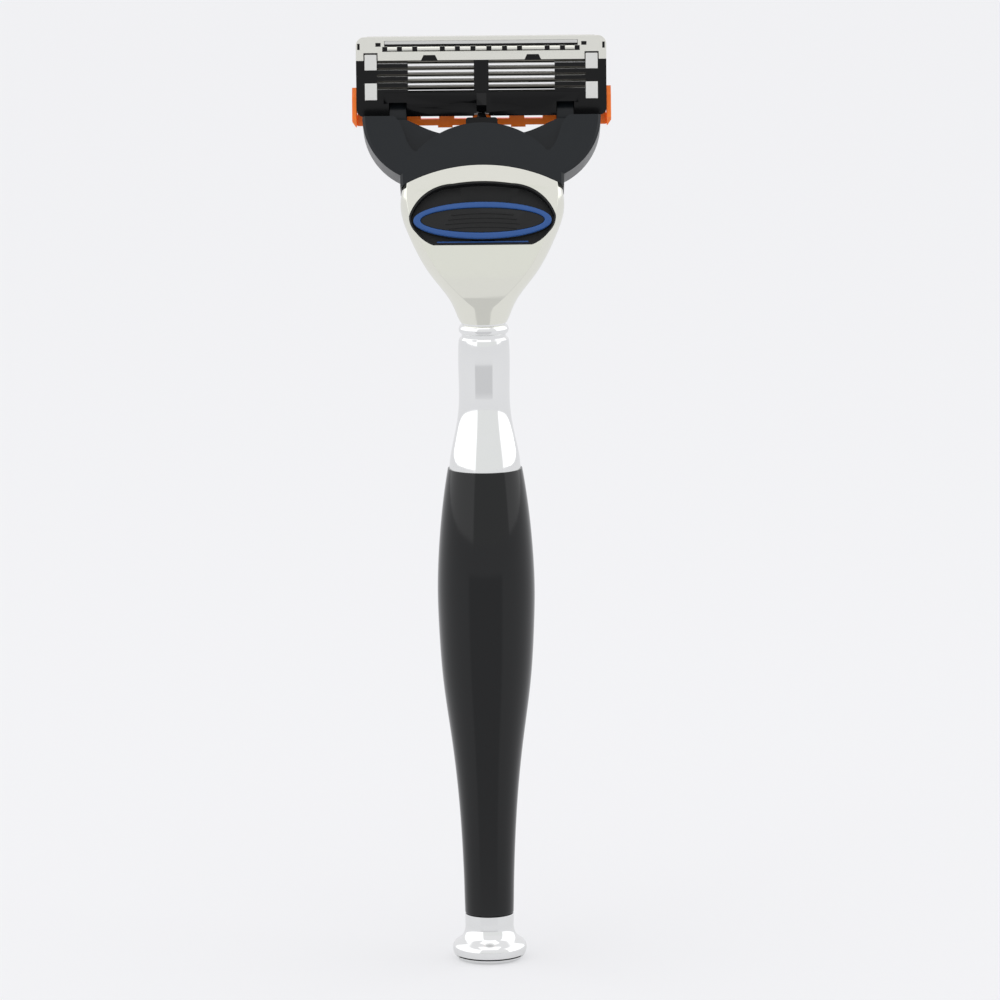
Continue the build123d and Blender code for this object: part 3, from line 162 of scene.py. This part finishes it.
class SurfaceDetail:
    """Shader node group that turns a few numbers into wandering colour, roughness and bump."""

    NAME = "surface_detail"
    CLOUD_SHARE = 0.07  # scale of the broad clouding, as a share of the fine detail's

    def group(self) -> bpy.types.NodeTree:
        """Returns the shared group, made on first use.

        Returns:
            The node group with outputs Colour, Roughness and Normal.
        """
        if self.NAME in bpy.data.node_groups:
            return bpy.data.node_groups[self.NAME]
        tree = bpy.data.node_groups.new(self.NAME, "ShaderNodeTree")
        face = tree.interface
        face.new_socket("Colour", in_out="INPUT", socket_type="NodeSocketColor")
        for name in ("Tint", "Roughness", "Spread", "Scale", "Depth"):
            face.new_socket(name, in_out="INPUT", socket_type="NodeSocketFloat")
        face.new_socket("Grain", in_out="INPUT", socket_type="NodeSocketVector")
        face.new_socket("Colour", in_out="OUTPUT", socket_type="NodeSocketColor")
        face.new_socket("Roughness", in_out="OUTPUT", socket_type="NodeSocketFloat")
        face.new_socket("Normal", in_out="OUTPUT", socket_type="NodeSocketVector")
        new, link = tree.nodes.new, tree.links.new
        enter, leave = new("NodeGroupInput"), new("NodeGroupOutput")
        place = new("ShaderNodeTexCoord")
        stretch = new("ShaderNodeVectorMath")
        stretch.operation = "MULTIPLY"
        link(place.outputs["Object"], stretch.inputs[0])
        link(enter.outputs["Grain"], stretch.inputs[1])
        fine, cloud = new("ShaderNodeTexNoise"), new("ShaderNodeTexNoise")
        fine.inputs["Detail"].default_value = 3.0
        cloud.inputs["Detail"].default_value = 2.0
        broad = new("ShaderNodeMath")
        broad.operation = "MULTIPLY"
        broad.inputs[1].default_value = self.CLOUD_SHARE
        link(enter.outputs["Scale"], broad.inputs[0])
        link(stretch.outputs[0], fine.inputs["Vector"])
        link(stretch.outputs[0], cloud.inputs["Vector"])
        link(enter.outputs["Scale"], fine.inputs["Scale"])
        link(broad.outputs[0], cloud.inputs["Scale"])
        mix = new("ShaderNodeMath")
        mix.operation = "ADD"
        link(fine.outputs["Fac"], mix.inputs[0])
        link(cloud.outputs["Fac"], mix.inputs[1])
        centre = new("ShaderNodeMath")
        centre.operation = "SUBTRACT"
        centre.inputs[1].default_value = 1.0
        link(mix.outputs[0], centre.inputs[0])
        swing = new("ShaderNodeMath")
        swing.operation = "MULTIPLY_ADD"
        link(centre.outputs[0], swing.inputs[0])
        link(enter.outputs["Spread"], swing.inputs[1])
        link(enter.outputs["Roughness"], swing.inputs[2])
        shade = new("ShaderNodeMath")
        shade.operation = "MULTIPLY_ADD"
        shade.inputs[2].default_value = 1.0
        link(centre.outputs[0], shade.inputs[0])
        link(enter.outputs["Tint"], shade.inputs[1])
        tinted = new("ShaderNodeVectorMath")
        tinted.operation = "SCALE"
        link(enter.outputs["Colour"], tinted.inputs[0])
        link(shade.outputs[0], tinted.inputs["Scale"])
        bump = new("ShaderNodeBump")
        bump.inputs["Strength"].default_value = 1.0
        link(enter.outputs["Depth"], bump.inputs["Distance"])
        link(fine.outputs["Fac"], bump.inputs["Height"])
        link(tinted.outputs[0], leave.inputs["Colour"])
        link(swing.outputs[0], leave.inputs["Roughness"])
        link(bump.outputs["Normal"], leave.inputs["Normal"])
        return tree


def material(finish: Finish) -> bpy.types.Material:
    """Makes or reuses the material of a finish.

    Args:
        finish: The finish to build.

    Returns:
        The node material.
    """
    if finish.name in bpy.data.materials:
        return bpy.data.materials[finish.name]
    made = bpy.data.materials.new(finish.name)
    made.use_nodes = True
    tree = made.node_tree
    shader = next(n for n in tree.nodes if n.type == "BSDF_PRINCIPLED")
    detail = tree.nodes.new("ShaderNodeGroup")
    detail.node_tree = SurfaceDetail().group()
    detail.inputs["Colour"].default_value = (*finish.colour, 1.0)
    detail.inputs["Tint"].default_value = finish.tint
    detail.inputs["Roughness"].default_value = finish.roughness
    detail.inputs["Spread"].default_value = finish.spread
    detail.inputs["Scale"].default_value = finish.scale
    detail.inputs["Depth"].default_value = finish.depth
    detail.inputs["Grain"].default_value = finish.grain.value
    tree.links.new(detail.outputs["Colour"], shader.inputs["Base Color"])
    tree.links.new(detail.outputs["Roughness"], shader.inputs["Roughness"])
    if finish.depth > 0:
        tree.links.new(detail.outputs["Normal"], shader.inputs["Normal"])
    shader.inputs["Metallic"].default_value = finish.metallic
    shader.inputs["Specular IOR Level"].default_value = finish.specular
    if finish.glow > 0:
        shader.inputs["Emission Color"].default_value = (*finish.colour, 1.0)
        shader.inputs["Emission Strength"].default_value = finish.glow
    return made


def cad_mesh(node: str) -> bpy.types.Mesh:
    """Returns the mesh of a CAD node.

    Args:
        node: Name of the node.

    Returns:
        Its mesh, which is only read.
    """
    return bpy.data.objects[node].data


def link_piece(name: str, mesh: bpy.types.Mesh, finish: Finish, body: str) -> bpy.types.Object:
    """Puts a mesh into the scene as a piece riding on a body.

    Args:
        name: Object name.
        mesh: Its mesh, in the row frame.
        finish: Its finish.
        body: The body it rides on.

    Returns:
        The new object.
    """
    piece = bpy.data.objects.new(name, mesh)
    bpy.context.scene.collection.objects.link(piece)
    mesh.materials.clear()
    mesh.materials.append(material(finish))
    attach(piece, body)
    return piece


def turned_profile(node: str, inner: float) -> list[tuple[float, float]]:
    """Reads the outside of a turned CAD node as radius against height.

    Args:
        node: The CAD node, turned about Z.
        inner: Vertices nearer the axis than this are left out, in metres.

    Returns:
        (z, r) pairs from the bottom up.
    """
    found: dict[float, float] = {}
    for vertex in cad_mesh(node).vertices:
        reach = math.hypot(vertex.co.x, vertex.co.y)
        if reach > inner:
            level = round(vertex.co.z, 6)
            found[level] = max(found.get(level, 0.0), reach)
    return sorted(found.items())


def smooth_profile(points: list[tuple[float, float]], step: float) -> list[tuple[float, float]]:
    """Fills a profile in with a monotone cubic, so it never overshoots.

    Args:
        points: (z, r) pairs from the bottom up.
        step: Greatest distance between the new points, in metres.

    Returns:
        The filled profile.
    """
    slopes = [
        (b[1] - a[1]) / (b[0] - a[0]) if b[0] > a[0] else 0.0 for a, b in zip(points, points[1:])
    ]
    tangents = [slopes[0]]
    for before, after in zip(slopes, slopes[1:]):
        tangents.append(0.0 if before * after <= 0 else 2 * before * after / (before + after))
    tangents.append(slopes[-1])
    filled = []
    for index, (a, b) in enumerate(zip(points, points[1:])):
        rise = b[0] - a[0]
        count = max(1, math.ceil(rise / step))
        for part in range(count):
            t = part / count
            value = (
                a[1] * (2 * t**3 - 3 * t**2 + 1)
                + b[1] * (3 * t**2 - 2 * t**3)
                + rise * tangents[index] * (t**3 - 2 * t**2 + t)
                + rise * tangents[index + 1] * (t**3 - t**2)
            )
            filled.append((a[0] + t * rise, value))
    filled.append(points[-1])
    return filled


@dataclass
class Turned:
    """A fine lathe-turned skin that stands for a turned CAD node."""

    node: str
    finish: Finish
    body: str = "handle"
    inner: float = 0.0
    bore: float = 0.0
    top_bore: float | None = None
    segments: int = 128
    step: float = 0.0006
    sharp: float = 32.0

    def build(self) -> bpy.types.Object:
        """Turns the profile about Z and hides the CAD node.

        Returns:
            The finished object.
        """
        outline = smooth_profile(turned_profile(self.node, self.inner), self.step)
        top_bore = self.bore if self.top_bore is None else self.top_bore
        rings = [(outline[0][0], self.bore)] + outline + [(outline[-1][0], top_bore)]
        mesh = bmesh.new()
        rows = []
        for level, reach in rings:
            row = []
            for turn in range(self.segments):
                angle = math.tau * turn / self.segments
                row.append(mesh.verts.new((reach * math.cos(angle), reach * math.sin(angle), level)))
            rows.append(row)
        rows.append(rows[0])
        for low, high in zip(rows, rows[1:]):
            for turn in range(self.segments):
                after = (turn + 1) % self.segments
                mesh.faces.new((low[turn], low[after], high[after], high[turn]))
        bmesh.ops.recalc_face_normals(mesh, faces=mesh.faces)
        made = bpy.data.meshes.new(self.node + "_skin")
        mesh.to_mesh(made)
        mesh.free()
        made.polygons.foreach_set("use_smooth", [True] * len(made.polygons))
        made.set_sharp_from_angle(angle=math.radians(self.sharp))
        piece = link_piece(self.node + "_skin", made, self.finish, self.body)
        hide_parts(self.node)
        return piece


@dataclass
class Kept:
    """A CAD node's own shape, welded, with softened edges and a real finish."""

    node: str
    finish: Finish
    body: str
    bevel: float = 0.00012
    segments: int = 2
    angle: float = 32.0
    weld: float = 0.000002
    flat: float = 0.6

    def build(self) -> bpy.types.Object:
        """Copies the node's mesh, softens it and hides the CAD node.

        Returns:
            The finished object.
        """
        source = cad_mesh(self.node)
        mesh = bmesh.new()
        mesh.from_mesh(source)
        bmesh.ops.remove_doubles(mesh, verts=mesh.verts, dist=self.weld)
        bmesh.ops.dissolve_limit(
            mesh, angle_limit=math.radians(self.flat), verts=mesh.verts, edges=mesh.edges
        )
        bmesh.ops.recalc_face_normals(mesh, faces=mesh.faces)
        made = bpy.data.meshes.new(self.node + "_piece")
        mesh.to_mesh(made)
        mesh.free()
        made.polygons.foreach_set("use_smooth", [True] * len(made.polygons))
        made.set_sharp_from_angle(angle=math.radians(self.angle))
        piece = link_piece(self.node + "_piece", made, self.finish, self.body)
        if self.bevel > 0:
            soften = piece.modifiers.new("softened_edges", "BEVEL")
            soften.width = self.bevel
            soften.segments = self.segments
            soften.limit_method = "ANGLE"
            soften.angle_limit = math.radians(self.angle)
            soften.use_clamp_overlap = True
            soften.harden_normals = True
        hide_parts(self.node)
        return piece


@dataclass
class Spring:
    """A compression spring in the handle, kept at its modelled length."""

    node: str
    joint: str
    travel: float
    fixed_low: bool
    slide: tuple[float, float, float] = (0.0, 0.34202, 0.939693)

    def build(self) -> bpy.types.Object:
        """Copies the spring into a piece with a mesh of its own.

        Returns:
            The finished object.
        """
        piece = Kept(self.node, TURNED_STEEL, "handle", 0.0).build()
        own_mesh(piece)
        return piece


@dataclass
class Handle:
    """Foot, grip, ferrule and neck, with the hidden rod that ties them."""

    body: str = "handle"

    def build(self) -> None:
        """Builds every piece of the handle."""
        turned = (
            Turned("foot", CHROME, inner=0.0036, bore=0.00475, top_bore=0.00155, step=0.0003),
            Turned("grip", LACQUER, inner=0.0037, bore=0.00305),
            Turned("ferrule", CHROME, inner=0.0034, bore=0.00155, step=0.0004),
            Turned("neck_ring", CHROME, inner=0.0034, bore=0.00155, step=0.00012),
        )
        for piece in turned:
            LOG.info("handle: %s", piece.build().name)
        hidden = (
            ("grip_core", CAST_ZINC),
            ("tie_rod", TURNED_STEEL),
            ("rod_nut", TURNED_STEEL),
            ("foot_washer", TURNED_STEEL),
            ("foot_pad", PAD_RUBBER),
        )
        for node, finish in hidden:
            LOG.info("handle: %s", Kept(node, finish, self.body).build().name)


@dataclass
class Head:
    """Metal head shell with its recess, button, dock and springs."""

    body: str = "handle"
    button_body: str = "release"

    def build(self) -> None:
        """Builds every piece of the head."""
        pieces = (
            Kept("head_shell", WARM_NICKEL, self.body, 0.00012, 3, 20.0),
            Kept("recess_liner", SOFT_BLACK, self.body, 0.0001),
            Kept("lip_inlay", SOFT_BLUE, self.body, 0.00008),
            Kept("docking_block", INNER_GREY, self.body, 0.00015),
            Kept("block_pin", TURNED_STEEL, self.body, 0.0001),
            Spring("plunger_spring", "plunger_slide", 3.927 * MM, fixed_low=True),
            Spring("return_spring", "release_slide", 1.4 * MM, fixed_low=False),
            Kept("plunger", GLOSS_BLACK, "push_pin", 0.00015),
            Kept("ejector", INNER_GREY, self.button_body, 0.0001),
            Kept("release_button", SOFT_BLACK, self.button_body, 0.0001),
            Kept("button_band", SOFT_BLUE, self.button_body, 0.0002, 3),
        )
        for piece in pieces:
            LOG.info("head: %s", piece.build().name)


@dataclass
class Yoke:
    """The forked connector between the head and the cartridge."""

    body: str = "connector"

    def build(self) -> None:
        """Builds the yoke."""
        LOG.info("yoke: %s", Kept("yoke", YOKE_GREY, self.body, 0.00045, 4, 28.0).build().name)


@dataclass
class Cartridge:
    """Housing, guards, clips, strip and trimmer."""

    body: str = "cartridge"

    def build(self) -> None:
        """Builds every fixed piece of the cartridge."""
        pieces = (
            Kept("blade_housing", GLOSS_BLACK, self.body, 0.00012, 2, 30.0),
            Kept("guard_frame", GLOWING_ORANGE, self.body, 0.00015, 2),
            Kept("guard_fins", FIN_RUBBER, self.body, 0.00006),
            Kept("lubricating_strip", STRIP_GREEN, self.body, 0.00015),
            Kept("trimmer_plate", SHEET_STEEL, self.body, 0.00006),
            Kept("trimmer_blade", BLADE_STEEL, self.body, 0.00003),
            Kept("clip_left", CLIP_ALLOY, self.body, 0.00008),
            Kept("clip_right", CLIP_ALLOY, self.body, 0.00008),
        )
        for piece in pieces:
            LOG.info("cartridge: %s", piece.build().name)


@dataclass
class FloatingBlades:
    """The sprung blades on their bent supports, with a row of weld spots each."""

    count: int = 5
    spots: int = 17
    spot_radius: float = 0.00016
    spot_taper: float = 0.6
    spot_height: float = 0.00003
    spot_rise: float = 0.00062
    row_share: float = 0.92
    lean: float = 21.5

    def row_group(self) -> bpy.types.NodeTree:
        """Makes the geometry node group that repeats a spot along X.

        Returns:
            The node group, with inputs Count, Spacing and Material.
        """
        name = "spot_row"
        if name in bpy.data.node_groups:
            return bpy.data.node_groups[name]
        tree = bpy.data.node_groups.new(name, "GeometryNodeTree")
        face = tree.interface
        face.new_socket("Spot", in_out="INPUT", socket_type="NodeSocketGeometry")
        face.new_socket("Count", in_out="INPUT", socket_type="NodeSocketInt")
        face.new_socket("Spacing", in_out="INPUT", socket_type="NodeSocketFloat")
        face.new_socket("Start", in_out="INPUT", socket_type="NodeSocketVector")
        face.new_socket("Material", in_out="INPUT", socket_type="NodeSocketMaterial")
        face.new_socket("Row", in_out="OUTPUT", socket_type="NodeSocketGeometry")
        new, link = tree.nodes.new, tree.links.new
        enter, leave = new("NodeGroupInput"), new("NodeGroupOutput")
        line = new("GeometryNodeMeshLine")
        pitch = new("ShaderNodeCombineXYZ")
        copies = new("GeometryNodeInstanceOnPoints")
        real = new("GeometryNodeRealizeInstances")
        paint = new("GeometryNodeSetMaterial")
        link(enter.outputs["Spacing"], pitch.inputs["X"])
        link(enter.outputs["Count"], line.inputs["Count"])
        link(enter.outputs["Start"], line.inputs["Start Location"])
        link(pitch.outputs[0], line.inputs["Offset"])
        link(line.outputs["Mesh"], copies.inputs["Points"])
        link(enter.outputs["Spot"], copies.inputs["Instance"])
        link(copies.outputs["Instances"], real.inputs["Geometry"])
        link(real.outputs["Geometry"], paint.inputs["Geometry"])
        link(enter.outputs["Material"], paint.inputs["Material"])
        link(paint.outputs["Geometry"], leave.inputs["Row"])
        return tree

    def weld_row(self, index: int) -> bpy.types.Object:
        """Builds the weld spots of one blade.

        Args:
            index: Number of the blade, from 1.

        Returns:
            The finished object.
        """
        low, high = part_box(f"blade_{index}")
        lean = math.radians(self.lean)
        outward = Vector((0.0, math.cos(lean), math.sin(lean)))
        upward = Vector((0.0, -math.sin(lean), math.cos(lean)))
        middle = Vector((0.0, high.y, low.z)) + self.spot_rise * upward
        shape = bmesh.new()
        turn = outward.to_track_quat("Z", "Y").to_matrix().to_4x4()
        bmesh.ops.create_cone(
            shape,
            cap_ends=True,
            segments=12,
            radius1=self.spot_radius,
            radius2=self.spot_radius * self.spot_taper,
            depth=self.spot_height,
            matrix=turn,
        )
        mesh = bpy.data.meshes.new(f"weld_spot_{index}")
        shape.to_mesh(mesh)
        shape.free()
        holder = bpy.data.objects.new(f"weld_row_source_{index}", mesh)
        bpy.context.scene.collection.objects.link(holder)
        group = self.row_group()
        repeat = holder.modifiers.new("row", "NODES")
        repeat.node_group = group
        span = (high.x - low.x) * self.row_share
        values = {
            "Count": self.spots,
            "Spacing": span / (self.spots - 1),
            "Start": (-span / 2, middle.y, middle.z),
            "Material": material(CLIP_ALLOY),
        }
        for socket in group.interface.items_tree:
            if socket.item_type == "SOCKET" and socket.in_out == "INPUT" and socket.name in values:
                repeat[socket.identifier] = values[socket.name]
        bpy.context.view_layer.update()
        shown = holder.evaluated_get(bpy.context.evaluated_depsgraph_get())
        baked = bpy.data.meshes.new_from_object(shown)
        bpy.data.objects.remove(holder)
        return link_piece(f"weld_row_{index}", baked, CLIP_ALLOY, f"floating_blade_{index}")

    def build(self) -> None:
        """Builds every blade, support and weld row."""
        for index in range(1, self.count + 1):
            body = f"floating_blade_{index}"
            Kept(f"blade_{index}", BLADE_STEEL, body, 0.0).build()
            # The support's dark colour is painted shade for the gaps between the blades.
            Kept(f"blade_support_{index}", SHADED_SUPPORT_STEEL, body, 0.00005).build()
            LOG.info("blades: %s", self.weld_row(index).name)


@dataclass
class Studio:
    """Floor, soft light and camera."""

    camera_distance: float = 0.9
    camera_height: float = 0.224
    camera_side: float = 0.0024
    pitch: float = 9.276
    roll: float = -0.55
    lens: float = 200.2
    tent: tuple[float, float, float] = (0.83, 0.83, 0.845)
    tent_strength: float = 1.0
    # from bearing, to bearing, from height, to height, colour
    patches: tuple = (
        (-31.0, 60.0, -1.2, 0.30, (0.80, 0.81, 0.81)),
        (-135.0, -31.0, -0.12, 0.8, (1.25, 1.26, 1.27)),
        (62.0, 140.0, -0.12, 0.8, (1.25, 1.26, 1.27)),
    )
    # how bright the floor glows: seen directly, seen in a polished piece, and there in front
    floor_glow: tuple[float, float, float] = (0.40, 0.30, 0.12)
    floor_front: tuple[float, float] = (-41.0, 38.0)
    floor_reach: tuple[float, float] = (0.05, 0.72)
    floor_half: float = 8.0
    floor_cool: float = 0.985
    # half widths of the soft edges: bearing and distance on the floor, and both in the surround
    floor_soft: tuple[float, float] = (0.06, 0.04)
    tent_soft: float = 0.05
    box_place: tuple[float, float, float] = (0.0, -0.25, 0.9)
    box_aim: tuple[float, float, float] = (0.0, 0.0, 0.09)
    box_side: float = 0.7
    box_power: float = 0.6

    def floor(self) -> None:
        """Lays the pale floor."""
        mesh = bpy.data.meshes.new("floor")
        half = self.floor_half
        mesh.from_pydata(
            [(-half, -half, 0), (half, -half, 0), (half, half, 0), (-half, half, 0)], [], [(0, 1, 2, 3)]
        )
        mesh.materials.append(self.floor_material())
        ground = bpy.data.objects.new("floor", mesh)
        bpy.context.scene.collection.objects.link(ground)

    def bearing(self, tree: bpy.types.NodeTree, split: bpy.types.Node) -> bpy.types.NodeSocket:
        """Works out the bearing of a place or direction, from straight in front.

        Args:
            tree: The node tree to add to.
            split: Node with X, Y and Z outputs.

        Returns:
            The socket with the bearing, in radians, positive to the right.
        """
        ahead = tree.nodes.new("ShaderNodeMath")
        ahead.operation = "MULTIPLY"
        ahead.inputs[1].default_value = -1.0
        tree.links.new(split.outputs["Y"], ahead.inputs[0])
        turn = tree.nodes.new("ShaderNodeMath")
        turn.operation = "ARCTAN2"
        tree.links.new(split.outputs["X"], turn.inputs[0])
        tree.links.new(ahead.outputs[0], turn.inputs[1])
        return turn.outputs[0]

    def floor_material(self) -> bpy.types.Material:
        """Makes the floor's finish, which is dimmer in reflections than it looks.

        Returns:
            The material.
        """
        made = material(FLOOR_WHITE)
        tree = made.node_tree
        new, link = tree.nodes.new, tree.links.new
        shader = next(n for n in tree.nodes if n.type == "BSDF_PRINCIPLED")
        place, split = new("ShaderNodeTexCoord"), new("ShaderNodeSeparateXYZ")
        ray = new("ShaderNodeLightPath")
        link(place.outputs["Object"], split.inputs[0])
        low, high = (math.radians(edge) for edge in self.floor_front)
        around = self.band(tree, self.bearing(tree, split), low, high, self.floor_soft[0])
        away = new("ShaderNodeVectorMath")
        away.operation = "LENGTH"
        link(place.outputs["Object"], away.inputs[0])
        near = self.band(tree, away.outputs["Value"], *self.floor_reach, self.floor_soft[1])
        both = new("ShaderNodeMath")
        both.operation = "MULTIPLY"
        link(around, both.inputs[0])
        link(near, both.inputs[1])
        front = both.outputs[0]
        direct, mirrored, ahead = (
            (self.floor_cool * glow, self.floor_cool * glow, glow, 1.0) for glow in self.floor_glow
        )
        colour = None
        for mask, ends in ((front, (mirrored, ahead)), (ray.outputs["Is Camera Ray"], (None, direct))):
            blend = new("ShaderNodeMix")
            blend.data_type = "RGBA"
            sockets = [socket for socket in blend.inputs if socket.type == "RGBA"]
            if colour is None:
                sockets[0].default_value = ends[0]
            else:
                link(colour, sockets[0])
            sockets[1].default_value = ends[1]
            link(mask, blend.inputs["Factor"])
            colour = next(socket for socket in blend.outputs if socket.type == "RGBA")
        link(colour, shader.inputs["Emission Color"])
        return made

    def band(
        self, tree: bpy.types.NodeTree, source: bpy.types.NodeSocket, low: float, high: float, soft: float
    ) -> bpy.types.NodeSocket:
        """Makes a mask that is one while a value lies between two edges.

        Args:
            tree: The node tree to add to.
            source: Socket with the value.
            low: Lower edge.
            high: Upper edge.
            soft: Half width of each soft edge.

        Returns:
            The socket with the mask.
        """
        edges = []
        for start, end in ((low - soft, low + soft), (high + soft, high - soft)):
            edge = tree.nodes.new("ShaderNodeMapRange")
            edge.interpolation_type = "SMOOTHSTEP"
            edge.inputs["From Min"].default_value = start
            edge.inputs["From Max"].default_value = end
            tree.links.new(source, edge.inputs["Value"])
            edges.append(edge.outputs[0])
        both = tree.nodes.new("ShaderNodeMath")
        both.operation = "MULTIPLY"
        tree.links.new(edges[0], both.inputs[0])
        tree.links.new(edges[1], both.inputs[1])
        return both.outputs[0]

    def world(self) -> None:
        """Makes the soft surround: a bright tent, brighter side walls and a dim opening in front."""
        world = bpy.data.worlds.new("studio")
        bpy.context.scene.world = world
        world.use_nodes = True
        tree = world.node_tree
        new, link = tree.nodes.new, tree.links.new
        back = next(n for n in tree.nodes if n.type == "BACKGROUND")
        place = new("ShaderNodeTexCoord")
        split = new("ShaderNodeSeparateXYZ")
        link(place.outputs["Generated"], split.inputs[0])
        bearing = self.bearing(tree, split)
        colour = new("ShaderNodeRGB").outputs[0]
        colour.default_value = (*self.tent, 1.0)
        for patch in self.patches:
            left, right = math.radians(patch[0]), math.radians(patch[1])
            around = self.band(tree, bearing, left, right, self.tent_soft)
            upward = self.band(tree, split.outputs["Z"], patch[2], patch[3], self.tent_soft)
            mask = new("ShaderNodeMath")
            mask.operation = "MULTIPLY"
            link(around, mask.inputs[0])
            link(upward, mask.inputs[1])
            blend = new("ShaderNodeMix")
            blend.data_type = "RGBA"
            colour_ends = [socket for socket in blend.inputs if socket.type == "RGBA"]
            link(colour, colour_ends[0])
            colour_ends[1].default_value = (*patch[4], 1.0)
            link(mask.outputs[0], blend.inputs["Factor"])
            colour = next(socket for socket in blend.outputs if socket.type == "RGBA")
        link(colour, back.inputs["Color"])
        back.inputs["Strength"].default_value = self.tent_strength

    def light(self, name: str, place: Vector, target: Vector, size: float, power: float) -> None:
        """Adds one soft box.

        Args:
            name: Name of the light.
            place: Where it stands.
            target: What it points at.
            size: Its side, in metres.
            power: Its power, in watts.
        """
        data = bpy.data.lights.new(name, "AREA")
        data.size = size
        data.energy = power
        lamp = bpy.data.objects.new(name, data)
        lamp.location = place
        lamp.rotation_euler = (target - place).to_track_quat("-Z", "Y").to_euler()
        bpy.context.scene.collection.objects.link(lamp)

    def camera(self) -> None:
        """Sets the camera at the viewing angle."""
        data = bpy.data.cameras.new("camera")
        data.lens = self.lens
        data.sensor_width = 36.0
        data.clip_start = 0.01
        data.clip_end = 50.0
        view = bpy.data.objects.new("camera", data)
        bpy.context.scene.collection.objects.link(view)
        tilt = Matrix.Rotation(math.radians(90.0 - self.pitch), 4, "X")
        roll = Matrix.Rotation(math.radians(self.roll), 4, "Z")
        place = Matrix.Translation((self.camera_side, -self.camera_distance, self.camera_height))
        view.matrix_world = place @ tilt @ roll
        bpy.context.scene.camera = view

    def build(self) -> None:
        """Builds the whole studio."""
        self.floor()
        self.world()
        self.light("top_box", Vector(self.box_place), Vector(self.box_aim), self.box_side, self.box_power)
        self.camera()
        bpy.context.scene.view_settings.view_transform = "Standard"
        LOG.info("studio: floor, world, soft boxes and camera")


def main() -> None:
    """Builds the razor and its studio in order."""
    logging.basicConfig(level=logging.INFO, format="%(name)s %(message)s")
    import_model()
    for assembly in (Handle(), Head(), Yoke(), Cartridge(), FloatingBlades()):
        assembly.build()
    Studio().build()


if __name__ == "__main__":
    main()
